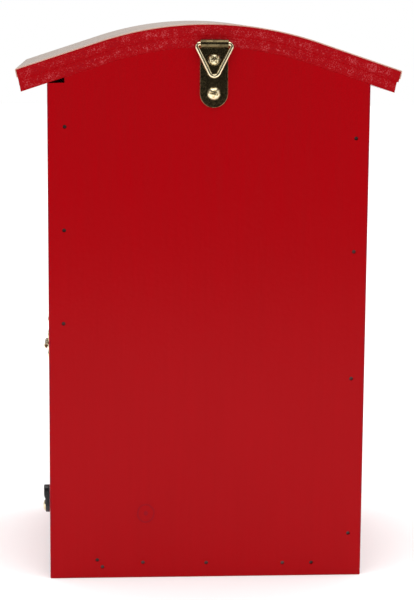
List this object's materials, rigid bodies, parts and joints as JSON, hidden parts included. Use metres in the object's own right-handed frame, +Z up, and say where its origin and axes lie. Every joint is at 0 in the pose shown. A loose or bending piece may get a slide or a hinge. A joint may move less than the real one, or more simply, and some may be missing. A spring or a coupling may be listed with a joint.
{
  "type": "money box",
  "caption": "Painted wooden money box with an arched roof under a metal sheet, a coin slot in front, a side door with a turn button, and a hanging ring on the back.",
  "frame": {"origin": "centre of the underside of the case, on the surface that it stands on", "axes": "+Z up, the front with the coin slot faces -Y, the back with the hanger faces +Y, and the side door is on +X"},
  "size_m": [0.1796, 0.142, 0.2644],
  "materials": {
    "red_paint": "gloss red paint over solid board",
    "red_ply": "gloss red paint over plywood, rough on the edges",
    "tin_sheet": "satin tinned sheet",
    "steel": "plain wire nails",
    "brass": "polished, light",
    "old_brass": "dark antique brass",
    "black_lacquer": "gloss black"
  },
  "bodies": {
    "case": {"back_panel": "red_paint", "front_panel": "red_paint", "plain_side_wall": "red_paint", "upper_side_wall": "red_paint", "floor_board": "red_paint", "roof_lower_ply": "red_ply", "roof_upper_ply": "red_ply", "roof_sheet": "tin_sheet", "roof_nails": "steel", "roof_sheet_pins": "steel", "rear_hinge_wall_leaf": "brass", "rear_hinge_pin": "old_brass", "front_hinge_wall_leaf": "brass", "front_hinge_pin": "old_brass", "hinge_wall_screws": "brass", "turn_button_screw": "brass", "hanger_strap": "old_brass", "hanger_screws": "brass", "back_side_nails": "steel", "back_floor_nails": "steel", "front_side_nails": "steel", "front_floor_nails": "steel"},
    "side_door": {"side_door": "red_paint", "rear_hinge_door_leaf": "brass", "front_hinge_door_leaf": "brass", "hinge_door_screws": "brass"},
    "turn_button": {"turn_button": "black_lacquer"},
    "hanger_ring": {"hanger_ring": "brass"}
  },
  "joints": [
    {"name": "side_door_hinge", "type": "hinge", "parent": "case", "child": "side_door", "pos_m": [0.0764, 0, 0.1106], "axis": [0, -1, 0], "range_deg": [0, 170]},
    {"name": "turn_button_pivot", "type": "hinge", "parent": "case", "child": "turn_button", "pos_m": [0.0763, 0.056, 0.035], "axis": [1, 0, 0], "range_deg": [0, 90]},
    {"name": "hanger_ring_swing", "type": "hinge", "parent": "case", "child": "hanger_ring", "pos_m": [-0.0019, 0.064, 0.2553], "axis": [1, 0, 0], "range_deg": [0, 180]}
  ]
}
